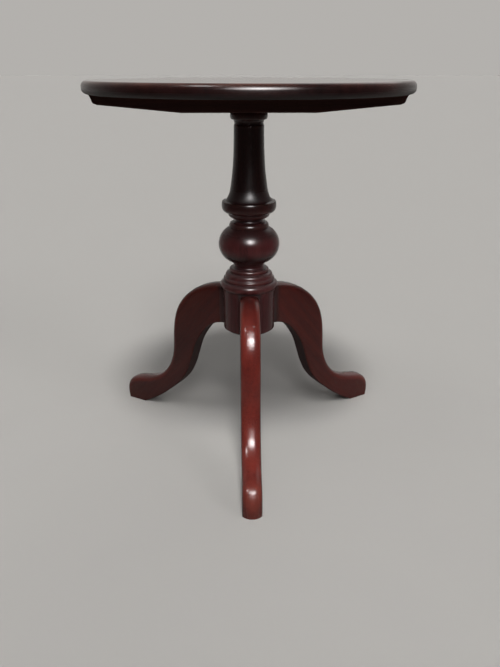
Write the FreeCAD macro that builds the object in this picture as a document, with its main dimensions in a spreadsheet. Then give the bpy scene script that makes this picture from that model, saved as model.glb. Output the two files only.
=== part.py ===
"""Round wine table: one board on a bearer, a turned column and three S-curved legs.

Millimetres, +Z up. The origin is on the floor under the column's axis, and the front leg points
along -Y. Every length below is a cell of the sheet, and every sketch and feature is bound to it.
"""
import FreeCAD, Part
import math
import os
import Sketcher

VECTOR = FreeCAD.Vector
UP = VECTOR(0, 0, 1)
FULL_TURN = 360.0
LEG_NAMES = ("leg_front", "leg_right", "leg_left")
LEG_COUNT = len(LEG_NAMES)
FRONT_LEG_ANGLE = -90.0
LEG_TURNS = {name: FRONT_LEG_ANGLE + FULL_TURN * i / LEG_COUNT for i, name in enumerate(LEG_NAMES)}
COUNTERSINK_ANGLE = 90.0
QUARTER_BULGE_SHARE = (math.sqrt(2) - 1) / 2
SPLINE_DEGREE = 3
POLE_WEIGHT = 1.0

doc = FreeCAD.newDocument("wine_table")
sheet = doc.addObject("Spreadsheet::Sheet", "dims")


class Size:
    """A length, or a ratio of lengths: its number, and the same thing as a formula on the sheet."""

    def __init__(self, number, formula):
        self.number = number
        self.formula = formula

    def __add__(self, other):
        other = as_size(other)
        return Size(self.number + other.number, f"({self.formula} + {other.formula})")

    def __sub__(self, other):
        other = as_size(other)
        return Size(self.number - other.number, f"({self.formula} - {other.formula})")

    def __mul__(self, other):
        other = as_size(other)
        return Size(self.number * other.number, f"({self.formula} * {other.formula})")

    def __truediv__(self, other):
        other = as_size(other)
        return Size(self.number / other.number, f"({self.formula} / {other.formula})")

    def __rsub__(self, other):
        return as_size(other) - self

    def __neg__(self):
        return Size(-self.number, f"(0 - {self.formula})")

    __radd__ = __add__
    __rmul__ = __mul__


def as_size(value):
    """A plain number as a Size, so that both can stand in one sum."""
    if isinstance(value, Size):
        return value
    return Size(float(value), f"({float(value):.9f})")


def size(name, millimetres):
    """Enter one driving dimension in the sheet and give it back."""
    row = size.rows = getattr(size, "rows", 0) + 1
    sheet.set(f"A{row}", name)
    sheet.set(f"B{row}", str(millimetres))
    sheet.setAlias(f"B{row}", name)
    return Size(float(millimetres), f"dims.{name}")


# Whole table
glue_gap = size("glue_gap", 0.1)
overrun = size("overrun", 5.0)

# Top
top_radius = size("top_radius", 240.0)
top_thickness = size("top_thickness", 18.0)
rim_flat = size("rim_flat", 2.0)

# Bearer: a flat middle, a straight taper to each end, and ends that lean in below
bearer_rim_setback = size("bearer_rim_setback", 12.0)
bearer_width = size("bearer_width", 80.0)
bearer_depth = size("bearer_depth", 26.0)
bearer_end_depth = size("bearer_end_depth", 14.0)
bearer_flat_length = size("bearer_flat_length", 196.0)
bearer_end_lean = size("bearer_end_lean", 4.0)
bearer_end_round = size("bearer_end_round", 6.0)
bearer_edge_round = size("bearer_edge_round", 2.5)

# Column's tenon and its wedge
tenon_radius = size("tenon_radius", 15.0)
wedge_inset = size("wedge_inset", 1.0)
wedge_shoulder_gap = size("wedge_shoulder_gap", 4.0)
wedge_thickness = size("wedge_thickness", 3.2)
wedge_tip_thickness = size("wedge_tip_thickness", 1.0)

# Column's mouldings, from the capital down; a bulge is how far a rounded moulding stands out
capital_root_radius = size("capital_root_radius", 26.7)
capital_bulge = size("capital_bulge", 1.7)
capital_height = size("capital_height", 11.0)
necking_step_radius = size("necking_step_radius", 24.5)
necking_height = size("necking_height", 9.0)
shaft_length = size("shaft_length", 111.0)
shaft_top_radius = size("shaft_top_radius", 23.0)
shaft_foot_radius = size("shaft_foot_radius", 36.5)
collar_slope_height = size("collar_slope_height", 1.0)
collar_root_radius = size("collar_root_radius", 41.8)
collar_bulge = size("collar_bulge", 1.2)
collar_height = size("collar_height", 13.0)
cup_lip_height = size("cup_lip_height", 5.0)
cup_band_radius = size("cup_band_radius", 34.0)
cup_band_height = size("cup_band_height", 2.0)
cup_band_slope = size("cup_band_slope", 1.0)
cup_foot_radius = size("cup_foot_radius", 22.5)
cup_height = size("cup_height", 6.5)
waist_height = size("waist_height", 6.0)
waist_ring_radius = size("waist_ring_radius", 31.5)
waist_ring_height = size("waist_ring_height", 8.0)
waist_ring_top_radius = size("waist_ring_top_radius", 23.5)
waist_ring_band_height = size("waist_ring_band_height", 2.0)
ball_radius = size("ball_radius", 48.7)
ball_height = size("ball_height", 56.5)
ball_top_radius = size("ball_top_radius", 29.5)
ball_foot_radius = size("ball_foot_radius", 26.5)
ball_step_height = size("ball_step_height", 1.0)
ball_band_radius = size("ball_band_radius", 25.5)
ball_band_height = size("ball_band_height", 2.5)
throat_radius = size("throat_radius", 25.0)
throat_height = size("throat_height", 7.0)
ring_root_radius = size("ring_root_radius", 30.0)
ring_bulge = size("ring_bulge", 2.4)
ring_height = size("ring_height", 6.5)
band_top_radius = size("band_top_radius", 33.0)
band_radius = size("band_radius", 38.5)
band_height = size("band_height", 8.0)
band_side_height = size("band_side_height", 3.0)
bead_root_radius = size("bead_root_radius", 39.2)
bead_bulge = size("bead_bulge", 2.6)
bead_height = size("bead_height", 6.5)
torus_bulge = size("torus_bulge", 5.3)
torus_top_radius = size("torus_top_radius", 41.0)
torus_height = size("torus_height", 13.0)
drum_radius = size("drum_radius", 42.3)
drum_height = size("drum_height", 69.5)
drum_floor_gap = size("drum_floor_gap", 192.0)
drum_edge = size("drum_edge", 1.2)

# How deep the column's hollows and its smaller rounds are, as shares of their chords
NECKING_HOLLOW_SHARE = 0.2
CUP_LIP_BULGE_SHARE = 0.12
CUP_BULGE_SHARE = 0.2
WAIST_HOLLOW_SHARE = 0.23
WAIST_RING_BULGE_SHARE = 0.24
THROAT_HOLLOW_SHARE = 0.3
# Poles of the shaft's curve from the collar up: share of the flare, share of the shaft's length
SHAFT_POLE_SHARES = [(0.56, 0.06), (0.37, 0.23), (0.11, 0.46), (0.02, 0.73)]

# Legs
toe_reach = size("toe_reach", 264.0)
sole_length = size("sole_length", 45.0)
leg_root_rise = size("leg_root_rise", 3.5)
leg_thickness = size("leg_thickness", 32.0)
toe_taper = size("toe_taper", 1.5)
crest_flat = size("crest_flat", 7.0)
arris_round = size("arris_round", 3.0)
# Poles of the leg's two edges: share of the way from drum to toe, share of the root's top height
LEG_CREST_SHARES = [
    (0.130, 1.000), (0.320, 0.930), (0.465, 0.775), (0.491, 0.570), (0.487, 0.430),
    (0.580, 0.270), (0.755, 0.182), (0.955, 0.172), (1.020, 0.084),
]
LEG_ARCH_SHARES = [
    (0.103, 0.752), (0.243, 0.600), (0.281, 0.514), (0.353, 0.304), (0.475, 0.187), (0.672, 0.053),
]
LEG_ROOT_TRIM_SHARE = 0.25

# Sliding dovetails between legs and drum
dovetail_depth = size("dovetail_depth", 14.0)
dovetail_width = size("dovetail_width", 20.0)
dovetail_neck = size("dovetail_neck", 13.0)
dovetail_shoulder = size("dovetail_shoulder", 6.0)
dovetail_stub_setback = size("dovetail_stub_setback", 1.5)

# Base plate under the drum
plate_setback = size("plate_setback", 4.3)
plate_thickness = size("plate_thickness", 2.5)
plate_chamfer = size("plate_chamfer", 0.8)

# Countersunk wood screws
shank_radius = size("shank_radius", 2.1)
head_radius = size("head_radius", 4.2)
head_rim = size("head_rim", 0.4)
screw_tip = size("screw_tip", 5.0)
slot_width = size("slot_width", 1.1)
slot_depth = size("slot_depth", 1.2)
screw_cover = size("screw_cover", 6.0)
centre_screw_end_inset = size("centre_screw_end_inset", 26.0)
centre_screw_side_inset = size("centre_screw_side_inset", 16.0)
end_screw_inset = size("end_screw_inset", 40.0)
end_screw_sink = size("end_screw_sink", 2.7)
plate_screw_length = size("plate_screw_length", 22.0)
plate_screw_inset = size("plate_screw_inset", 14.0)

# Heights in the column, stacked from the drum's underside
torus_foot = drum_height
bead_foot = torus_foot + torus_height
band_foot = bead_foot + bead_height
ring_foot = band_foot + band_height
throat_foot = ring_foot + ring_height
ball_band_foot = throat_foot + throat_height
ball_foot = ball_band_foot + ball_band_height + ball_step_height
waist_ring_foot = ball_foot + ball_height
waist_foot = waist_ring_foot + waist_ring_height
cup_foot = waist_foot + waist_height
cup_top = cup_foot + cup_height
lip_foot = cup_top + cup_band_height
collar_foot = lip_foot + cup_lip_height
shaft_foot = collar_foot + collar_height + collar_slope_height
necking_foot = shaft_foot + shaft_length
capital_foot = necking_foot + necking_height
column_height = capital_foot + capital_height

# Heights above the floor
shoulder = drum_floor_gap + column_height
top_underside = shoulder + bearer_depth
leg_top = drum_floor_gap + drum_height - glue_gap
leg_root_bottom = drum_floor_gap + leg_root_rise
tongue_top = leg_top - dovetail_shoulder

# Sizes that follow from those above
rim_round = (top_thickness - rim_flat) * 0.5
bearer_half = top_radius - bearer_rim_setback
bearer_flat_half = bearer_flat_length * 0.5
bearer_end_rise = bearer_depth - bearer_end_depth
tenon_height = bearer_depth - glue_gap
wedge_length = tenon_height - wedge_shoulder_gap
wedge_width = (tenon_radius - wedge_inset) * 2
toe_thickness = leg_thickness - toe_taper * 2
crest_round = (toe_thickness - crest_flat) * 0.5
leg_root_start = drum_radius - leg_thickness * LEG_ROOT_TRIM_SHARE
dovetail_inner = drum_radius - dovetail_depth
dovetail_outer = drum_radius + overrun
plate_radius = drum_radius - plate_setback
plate_screw_circle = plate_radius - plate_screw_inset
hole_radius = shank_radius + glue_gap
countersink_radius = head_radius + head_rim + glue_gap
top_bite = top_thickness - screw_cover
centre_screw_x = bearer_flat_half - centre_screw_end_inset
centre_screw_y = bearer_width * 0.5 - centre_screw_side_inset
end_screw_x = bearer_half - end_screw_inset
taper_slope = bearer_end_rise / (bearer_half - bearer_flat_half)
end_screw_seat = (end_screw_x - bearer_flat_half) * taper_slope + end_screw_sink


def origin_feature(body, role):
    """One of a body's own planes or axes, by its role."""
    return next(f for f in body.Origin.OriginFeatures if f.Role == role)


class Drawing:
    """A sketch on one of a body's own planes, with each point bound to the sheet."""

    def __init__(self, body, name, role, offset=None):
        self.sketch = body.newObject("Sketcher::SketchObject", name)
        self.sketch.AttachmentSupport = (origin_feature(body, role), [""])
        self.sketch.MapMode = "FlatFace"
        if offset is not None:
            self.sketch.setExpression("AttachmentOffset.Base.z", offset.formula)

    def bind(self, kind, geometry, position, value):
        """Hold one coordinate of a point, measured from the sketch's origin."""
        value = as_size(value)
        ends = (-1, 1, geometry, position)
        if value.number < 0:
            value = -value
            ends = (geometry, position, -1, 1)
        self.add_bound(Sketcher.Constraint(kind, *ends, value.number), value)

    def add_bound(self, constraint, value):
        """Add a constraint under a name of its own and bind its value."""
        index = self.sketch.addConstraint(constraint)
        self.sketch.renameConstraint(index, f"size{index}")
        self.sketch.setExpression(f"Constraints.size{index}", value.formula)

    def place(self, geometry, position, point):
        self.bind("DistanceX", geometry, position, point[0])
        self.bind("DistanceY", geometry, position, point[1])

    def join(self, first, second):
        self.sketch.addConstraint(Sketcher.Constraint("Coincident", *first, *second))

    def circle(self, point, radius):
        """A circle with a bound centre and radius."""
        index = self.sketch.addGeometry(Part.Circle(vector(point), UP, radius.number), False)
        self.place(index, 3, point)
        self.add_bound(Sketcher.Constraint("Radius", index, radius.number), radius)

    def axis(self, point, height):
        """A construction line straight up from a point, for turning about."""
        end = (point[0], point[1] + height)
        index = self.sketch.addGeometry(Part.LineSegment(vector(point), vector(end)), True)
        self.place(index, 1, point)
        self.place(index, 2, end)

    def outline(self, start, *steps):
        """A closed outline. Each step leads on from the last corner: line, arc or spline."""
        pieces = []
        corner = start
        for kind, *values in steps + (("line", start),):
            pieces.append(getattr(self, kind)(corner, *values))
            corner = values[0]
        for before, after in zip(pieces, pieces[1:] + pieces[:1]):
            self.join(before[1], after[0])
        for piece, point in zip(pieces, [start] + [step[1] for step in steps]):
            self.place(*piece[0], point)

    def line(self, begin, end):
        index = self.sketch.addGeometry(Part.LineSegment(vector(begin), vector(end)), False)
        return (index, 1), (index, 2)

    def arc(self, begin, end, bulge):
        """An arc that stands out to the right of its chord by a share of the chord's length."""
        across = (end[0] - begin[0], end[1] - begin[1])
        reach = (0.25 - bulge * bulge) / (2 * bulge)
        middle = (
            (begin[0] + end[0]) * 0.5 - across[1] * reach,
            (begin[1] + end[1]) * 0.5 + across[0] * reach,
        )
        first, last = (begin, end) if as_size(bulge).number > 0 else (end, begin)
        centre, ray, far_ray = vector(middle), vector(first), vector(last)
        angles = [math.atan2(p.y - centre.y, p.x - centre.x) for p in (ray, far_ray)]
        if angles[1] < angles[0]:
            angles[1] += 2 * math.pi
        ring = Part.Circle(centre, UP, ray.distanceToPoint(centre))
        index = self.sketch.addGeometry(Part.ArcOfCircle(ring, *angles), False)
        chord = vector(end) - vector(begin)
        if abs(chord.y) > abs(chord.x):
            self.bind("DistanceX", index, 3, middle[0])
        else:
            self.bind("DistanceY", index, 3, middle[1])
        corners = (index, 1), (index, 2)
        return corners if first is begin else corners[::-1]

    def spline(self, begin, end, inner_poles):
        """A smooth curve between two corners, drawn by its poles."""
        poles = [vector(p) for p in (begin, *inner_poles, end)]
        curve = Part.BSplineCurve(poles, None, None, False, SPLINE_DEGREE, None, False)
        index = self.sketch.addGeometry(curve, False)
        for number, pole in enumerate(poles):
            mark = self.sketch.addGeometry(Part.Circle(pole, UP, POLE_WEIGHT), True)
            tie = "InternalAlignment:Sketcher::BSplineControlPoint"
            self.sketch.addConstraint(Sketcher.Constraint(tie, mark, 3, index, number))
            self.sketch.addConstraint(Sketcher.Constraint("Weight", mark, POLE_WEIGHT))
            if 0 < number < len(poles) - 1:
                self.place(mark, 3, inner_poles[number - 1])
        return (index, 1), (index, 2)


def vector(point):
    return VECTOR(as_size(point[0]).number, as_size(point[1]).number, 0)


def new_body(label, height=None, turn=0.0):
    """An empty piece, set at a height above the floor and turned about the column's axis."""
    body = doc.addObject("PartDesign::Body", label)
    body.Label = label
    body.Placement = FreeCAD.Placement(VECTOR(), FreeCAD.Rotation(UP, turn))
    if height is not None:
        body.setExpression("Placement.Base.z", height.formula)
    return body


def feature(body, kind, name, profile):
    made = body.newObject(f"PartDesign::{kind}", name)
    made.Profile = profile.sketch
    return made


def turn(body, name, profile, axis="V_Axis"):
    """A turned solid: the profile swung once about an axis of its sketch."""
    made = feature(body, "Revolution", name, profile)
    made.ReferenceAxis = (profile.sketch, [axis])
    made.Angle = FULL_TURN
    doc.recompute()
    return made


def pad(body, name, profile, length, sides="One side"):
    made = feature(body, "Pad", name, profile)
    made.SideType = sides
    made.setExpression("Length", length.formula)
    doc.recompute()
    return made


def must_cut(made, before):
    """A cut that takes no wood away points the wrong way."""
    doc.recompute()
    if not made.Shape.Volume < before:
        raise RuntimeError(f"{made.Label} cuts nothing")
    return made


def pocket(body, name, profile, depth=None, upwards=True):
    """A cut to a depth, up from the sketch's plane or down, or right through both ways."""
    before = body.Shape.Volume
    made = feature(body, "Pocket", name, profile)
    if depth is None:
        made.SideType = "Symmetric"
        made.Type = "ThroughAll"
    else:
        made.Reversed = upwards
        made.setExpression("Length", depth.formula)
    return must_cut(made, before)


def countersunk_holes(body, name, centres):
    """Clearance holes right up through a piece, countersunk at the sketch's plane."""
    before = body.Shape.Volume
    made = feature(body, "Hole", name, centres)
    doc.recompute()
    made.Reversed = True
    made.Threaded = False
    made.HoleCutType = "Countersink"
    made.HoleCutCustomValues = True
    made.DepthType = "ThroughAll"
    made.HoleCutCountersinkAngle = COUNTERSINK_ANGLE
    made.setExpression("Diameter", (hole_radius * 2).formula)
    made.setExpression("HoleCutDiameter", (countersink_radius * 2).formula)
    return must_cut(made, before)


def round_over(body, name, radius, chosen):
    """Round the edges of a piece that a test on each edge's box chooses."""
    base = body.Tip
    edges = [f"Edge{i}" for i, edge in enumerate(base.Shape.Edges, 1) if chosen(edge)]
    made = body.newObject("PartDesign::Fillet", name)
    made.Base = (base, edges)
    made.setExpression("Radius", radius.formula)
    doc.recompute()
    return made


def polar(body, name, originals):
    """Three of a kind about the column's axis."""
    made = body.newObject("PartDesign::PolarPattern", name)
    made.Originals = originals
    made.Axis = (origin_feature(body, "Z_Axis"), [""])
    made.Angle = FULL_TURN
    made.Occurrences = LEG_COUNT
    body.Tip = made
    doc.recompute()
    return made


def mirrored(body, name, originals, roles):
    """Copies on the other side of each plane in turn."""
    made = body.newObject("PartDesign::MultiTransform", name)
    made.Originals = originals
    steps = []
    for role in roles:
        step = body.newObject("PartDesign::Mirrored", f"{name}_{role}")
        step.MirrorPlane = (origin_feature(body, role), [""])
        steps.append(step)
    made.Transformations = steps
    body.Tip = made
    doc.recompute()
    return made


def screw_places():
    """Centres of the six screws that hold the top, seen from below the bearer."""
    centre = [(centre_screw_x * a, centre_screw_y * b) for a in (-1, 1) for b in (-1, 1)]
    ends = [(end_screw_x * a, 0.0) for a in (-1, 1)]
    return centre, ends


def plate_screw_places():
    """Centres of the three plate screws, midway between the legs."""
    angles = [math.radians(turned + FULL_TURN / 2) for turned in LEG_TURNS.values()]
    return [(plate_screw_circle * math.cos(a), plate_screw_circle * math.sin(a)) for a in angles]


def drill(body, name, places, radius, depth):
    """Blind pilot holes upwards from the underside of a piece."""
    centres = Drawing(body, f"{name}_centres", "XY_Plane")
    for place in places:
        centres.circle(place, radius)
    return pocket(body, name, centres, depth)


def make_top():
    """A round board with a rounded rim, drilled from below for its screws."""
    body = new_body("top", top_underside)
    profile = Drawing(body, "board_section", "XZ_Plane")
    profile.outline(
        (0.0, 0.0),
        ("line", (top_radius - rim_round, 0.0)),
        ("arc", (top_radius, rim_round), QUARTER_BULGE_SHARE),
        ("line", (top_radius, top_thickness - rim_round)),
        ("arc", (top_radius - rim_round, top_thickness), QUARTER_BULGE_SHARE),
        ("line", (0.0, top_thickness)),
    )
    turn(body, "board", profile)
    centre, ends = screw_places()
    drill(body, "pilot_holes", centre + ends, hole_radius, top_bite + glue_gap)
    return body


def make_bearer():
    """A batten under the top: flat in the middle, tapered to both ends, mortised for the column."""
    body = new_body("bearer", shoulder)
    half, flat, end_bottom = bearer_half, bearer_flat_half, bearer_end_rise
    lean = half - bearer_end_lean
    inner = lean - bearer_end_round
    side = Drawing(body, "side_view", "XZ_Plane")
    side.outline(
        (-half, bearer_depth),
        ("line", (-half, end_bottom)),
        ("line", (-flat, 0.0)),
        ("line", (flat, 0.0)),
        ("line", (half, end_bottom)),
        ("line", (half, bearer_depth)),
    )
    pad(body, "batten", side, bearer_width, "Symmetric")

    def along_a_lower_arris(edge):
        box = edge.BoundBox
        lengthwise = box.XLength > box.YLength and box.XLength > box.ZLength
        return lengthwise and box.ZMin < bearer_depth.number * 0.5

    round_over(body, "lower_arrises", bearer_edge_round, along_a_lower_arris)
    ends = Drawing(body, "end_shape", "XZ_Plane")
    for hand in (-1, 1):
        ends.outline(
            (half * hand, bearer_depth),
            ("line", (lean * hand, end_bottom + bearer_end_round)),
            ("arc", (inner * hand, end_bottom), -QUARTER_BULGE_SHARE * hand),
            ("line", (inner * hand, -overrun)),
            ("line", ((half + overrun) * hand, -overrun)),
            ("line", ((half + overrun) * hand, bearer_depth)),
        )
    pocket(body, "shaped_ends", ends)
    mortise = Drawing(body, "mortise_section", "XY_Plane")
    mortise.circle((0.0, 0.0), tenon_radius + glue_gap)
    pocket(body, "mortise", mortise)
    centre, ends = screw_places()
    centres = Drawing(body, "centre_screw_centres", "XY_Plane")
    seats = Drawing(body, "end_screw_centres", "XY_Plane", end_screw_seat)
    wells = Drawing(body, "end_screw_wells", "XY_Plane", end_screw_seat)
    for place in centre:
        centres.circle(place, hole_radius)
    for place in ends:
        seats.circle(place, hole_radius)
        wells.circle(place, countersink_radius)
    countersunk_holes(body, "centre_screw_holes", centres)
    countersunk_holes(body, "end_screw_holes", seats)
    pocket(body, "end_screw_counterbores", wells, end_screw_seat, upwards=False)
    return body


def column_steps():
    """The column's section, from the drum's underside up to the shoulder under the bearer."""
    ball_side = (ball_foot_radius + ball_top_radius) * 0.5
    flare = shaft_foot_radius - shaft_top_radius
    shaft_poles = [
        (shaft_top_radius + flare * out_share, shaft_foot + shaft_length * up_share)
        for out_share, up_share in SHAFT_POLE_SHARES
    ]
    return [
        ("line", (drum_radius - drum_edge, 0.0)),
        ("line", (drum_radius, drum_edge)),
        ("line", (drum_radius, torus_foot)),
        ("arc", (torus_top_radius, bead_foot), torus_bulge / torus_height),
        ("line", (bead_root_radius, bead_foot)),
        ("arc", (bead_root_radius, band_foot), bead_bulge / bead_height),
        ("line", (band_radius, band_foot)),
        ("line", (band_radius, band_foot + band_side_height)),
        ("arc", (band_top_radius, ring_foot), QUARTER_BULGE_SHARE),
        ("line", (ring_root_radius, ring_foot)),
        ("arc", (ring_root_radius, throat_foot), ring_bulge / ring_height),
        ("line", (throat_radius, throat_foot)),
        ("arc", (throat_radius, ball_band_foot), -THROAT_HOLLOW_SHARE),
        ("line", (ball_band_radius, ball_band_foot)),
        ("line", (ball_band_radius, ball_band_foot + ball_band_height)),
        ("line", (ball_foot_radius, ball_foot)),
        ("arc", (ball_top_radius, waist_ring_foot), (ball_radius - ball_side) / ball_height),
        ("line", (waist_ring_radius, waist_ring_foot)),
        ("line", (waist_ring_radius, waist_ring_foot + waist_ring_band_height)),
        ("arc", (waist_ring_top_radius, waist_foot), WAIST_RING_BULGE_SHARE),
        ("arc", (cup_foot_radius, cup_foot), -WAIST_HOLLOW_SHARE),
        ("arc", (cup_band_radius - cup_band_slope, cup_top), CUP_BULGE_SHARE),
        ("line", (cup_band_radius, lip_foot)),
        ("arc", (collar_root_radius, collar_foot), CUP_LIP_BULGE_SHARE),
        ("arc", (collar_root_radius, collar_foot + collar_height), collar_bulge / collar_height),
        ("line", (shaft_foot_radius, shaft_foot)),
        ("spline", (shaft_top_radius, necking_foot), shaft_poles),
        ("arc", (necking_step_radius, capital_foot), -NECKING_HOLLOW_SHARE),
        ("line", (capital_root_radius, capital_foot)),
        ("arc", (capital_root_radius, column_height), capital_bulge / capital_height),
    ]


def dovetail(drawing, inner, outer, half_inner, half_outer, along):
    """The plan of a dovetail that widens towards the column's axis, along +X or -Y."""
    corners = [(inner, -half_inner), (outer, -half_outer), (outer, half_outer), (inner, half_inner)]
    if along == "-Y":
        corners = [(across, -out) for out, across in corners]
    drawing.outline(corners[0], *[("line", corner) for corner in corners[1:]])


def make_column():
    """The turned column: round tenon with a wedge kerf above, three dovetail sockets below."""
    body = new_body("column", drum_floor_gap)
    tenon_end = column_height + tenon_height
    section = Drawing(body, "half_section", "XZ_Plane")
    section.outline(
        (0.0, 0.0),
        *column_steps(),
        ("line", (tenon_radius, column_height)),
        ("line", (tenon_radius, tenon_end)),
        ("line", (0.0, tenon_end)),
    )
    turn(body, "turned_post", section)
    socket_plan = Drawing(body, "socket_plan", "XY_Plane")
    dovetail(
        socket_plan,
        dovetail_inner - glue_gap,
        dovetail_outer,
        dovetail_width * 0.5 + glue_gap,
        dovetail_neck * 0.5 + glue_gap,
        "-Y",
    )
    socket_height = tongue_top - drum_floor_gap + glue_gap
    socket = pocket(body, "socket", socket_plan, socket_height)
    polar(body, "sockets", [socket])
    kerf = Drawing(body, "kerf_section", "XZ_Plane")
    wedge_outline(kerf, tenon_end)
    pocket(body, "kerf", kerf)
    bite = plate_screw_length - plate_thickness + glue_gap
    drill(body, "plate_pilot_holes", plate_screw_places(), hole_radius, bite)
    return body


def wedge_outline(drawing, top):
    """The wedge's tapered section, from its driven end down to its tip."""
    wide, thin = wedge_thickness * 0.5, wedge_tip_thickness * 0.5
    tip = top - wedge_length
    drawing.outline(
        (-wide, top),
        ("line", (-thin, tip)),
        ("line", (thin, tip)),
        ("line", (wide, top)),
    )


def make_wedge():
    """The wedge that spreads the tenon along the bearer's grain."""
    body = new_body("tenon_wedge", shoulder + tenon_height)
    section = Drawing(body, "wedge_section", "XZ_Plane")
    wedge_outline(section, as_size(0.0))
    pad(body, "wedge", section, wedge_width, "Symmetric")
    return body


def leg_point(out_share, up_share):
    return drum_radius + (toe_reach - drum_radius) * out_share, leg_top * up_share


def make_leg(label, turned):
    """One S-curved leg, drawn along +X: rounded crest, slipper foot, dovetail tongue at its root."""
    body = new_body(label, turn=turned)
    sole_end = toe_reach - sole_length
    side = Drawing(body, "side_view", "XZ_Plane")
    side.outline(
        (leg_root_start, leg_root_bottom),
        ("spline", (sole_end, 0.0), [leg_point(*s) for s in LEG_ARCH_SHARES]),
        ("line", (toe_reach, 0.0)),
        ("spline", (leg_root_start, leg_top), [leg_point(*s) for s in reversed(LEG_CREST_SHARES)]),
    )
    pad(body, "blank", side, leg_thickness, "Symmetric")

    thick, thin = leg_thickness * 0.5, toe_thickness * 0.5
    taper = Drawing(body, "taper_plan", "XY_Plane")
    for hand in (-1, 1):
        taper.outline(
            (drum_radius, thick * hand),
            ("line", (toe_reach + overrun, thin * hand)),
            ("line", (toe_reach + overrun, (thick + overrun) * hand)),
            ("line", (drum_radius, (thick + overrun) * hand)),
        )
    pocket(body, "taper", taper)

    def beside(edge):
        box = edge.BoundBox
        return abs(box.YMin + box.YMax) > thin.number

    def along_the_crest(edge):
        box = edge.BoundBox
        return beside(edge) and box.XMax > toe_reach.number and box.ZMax > leg_root_bottom.number

    def along_the_arch(edge):
        box = edge.BoundBox
        return beside(edge) and box.XMax < toe_reach.number and box.ZMin < arris_round.number < box.ZLength

    round_over(body, "crest", crest_round, along_the_crest)
    round_over(body, "lower_arris", arris_round, along_the_arch)
    face = Drawing(body, "drum_plan", "XY_Plane")
    face.circle((0.0, 0.0), drum_radius + glue_gap)
    pocket(body, "root_hollow", face)

    half_width, half_neck = dovetail_width * 0.5, dovetail_neck * 0.5
    tongue = Drawing(body, "tongue_plan", "XY_Plane", leg_root_bottom)
    dovetail(tongue, dovetail_inner, dovetail_outer, half_width, half_neck, "+X")
    pad(body, "tongue", tongue, tongue_top - leg_root_bottom)
    stub_outer = drum_radius - dovetail_stub_setback
    flare = (half_width - half_neck) * (dovetail_outer - stub_outer) / (dovetail_outer - dovetail_inner)
    stub = Drawing(body, "stub_plan", "XY_Plane", drum_floor_gap)
    dovetail(stub, dovetail_inner, stub_outer, half_width, half_neck + flare, "+X")
    pad(body, "tongue_stub", stub, leg_root_rise)
    return body


def make_base_plate():
    """A round iron plate under the drum that closes the dovetail sockets."""
    body = new_body("base_plate", drum_floor_gap - plate_thickness)
    section = Drawing(body, "plate_section", "XZ_Plane")
    section.outline(
        (0.0, 0.0),
        ("line", (plate_radius - plate_chamfer, 0.0)),
        ("line", (plate_radius, plate_chamfer)),
        ("line", (plate_radius, plate_thickness)),
        ("line", (0.0, plate_thickness)),
    )
    turn(body, "plate", section)
    centres = Drawing(body, "screw_centres", "XY_Plane")
    for place in plate_screw_places():
        centres.circle(place, hole_radius)
    countersunk_holes(body, "screw_holes", centres)
    return body


def one_screw(body, role, out, aside, length):
    """A slotted countersunk wood screw, head down, at a place out along a plane and aside from it."""
    section = Drawing(body, "screw_section", role, aside)
    section.outline(
        (out, 0.0),
        ("line", (out + head_radius, 0.0)),
        ("line", (out + head_radius, head_rim)),
        ("line", (out + shank_radius, head_rim + head_radius - shank_radius)),
        ("line", (out + shank_radius, length - screw_tip)),
        ("line", (out, length)),
    )
    section.axis((out, 0.0), length)
    shank = turn(body, "screw", section, "Axis0")
    return shank


def slot_outline(drawing, place):
    """The driver slot across a screw's head."""
    x, y = place
    half, reach = slot_width * 0.5, head_radius + slot_width
    drawing.outline(
        (x - reach, y - half),
        ("line", (x + reach, y - half)),
        ("line", (x + reach, y + half)),
        ("line", (x - reach, y + half)),
    )


def make_screws(label, height, role, out, aside, length, places, copy):
    """A group of equal screws: one is turned, the rest are its copies, and all are slotted."""
    body = new_body(label, height)
    first = one_screw(body, role, out, aside, length)
    copy(body, [first])
    slots = Drawing(body, "slot_plan", "XY_Plane")
    for place in places:
        slot_outline(slots, place)
    pocket(body, "slots", slots, slot_depth)
    return body


def make_all_screws():
    """The screws of the bearer and of the base plate."""
    centre, ends = screw_places()

    def four(body, originals):
        return mirrored(body, "four", originals, ("YZ_Plane", "XZ_Plane"))

    def two(body, originals):
        return mirrored(body, "two", originals, ("YZ_Plane",))

    def three(body, originals):
        return polar(body, "three", originals)

    end_height = shoulder + end_screw_seat
    end_length = bearer_depth - end_screw_seat + top_bite
    plate_height = drum_floor_gap - plate_thickness
    return [
        make_screws("bearer_centre_screws", shoulder, "XZ_Plane", centre_screw_x, centre_screw_y,
                    bearer_depth + top_bite, centre, four),
        make_screws("bearer_end_screws", end_height, "XZ_Plane", end_screw_x, None,
                    end_length, ends, two),
        make_screws("base_plate_screws", plate_height, "YZ_Plane", plate_screw_circle, None,
                    plate_screw_length, plate_screw_places(), three),
    ]


def write_parts(pieces):
    """Write each piece's solids, once everything in the document is whole."""
    doc.recompute()
    for thing in doc.Objects:
        if "Invalid" in thing.State or "Error" in thing.State:
            raise RuntimeError(f"{thing.Label} failed: {thing.State}")
    for piece in pieces:
        if piece.Shape.isNull() or not piece.Shape.isValid() or not piece.Shape.Solids:
            raise RuntimeError(f"{piece.Label} has no sound solid")
    os.makedirs("parts", exist_ok=True)
    for piece in pieces:
        piece.Shape.exportStep(f"parts/{piece.Label}.step")
        print(f"{piece.Label}: {len(piece.Shape.Solids)} solids, {piece.Shape.Volume:.0f} cubic millimetres")


doc.recompute()
legs = [make_leg(label, turned) for label, turned in LEG_TURNS.items()]
wood = [make_top(), make_bearer(), make_column(), make_wedge(), *legs]
iron = [make_base_plate(), *make_all_screws()]
write_parts(wood + iron)
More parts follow.
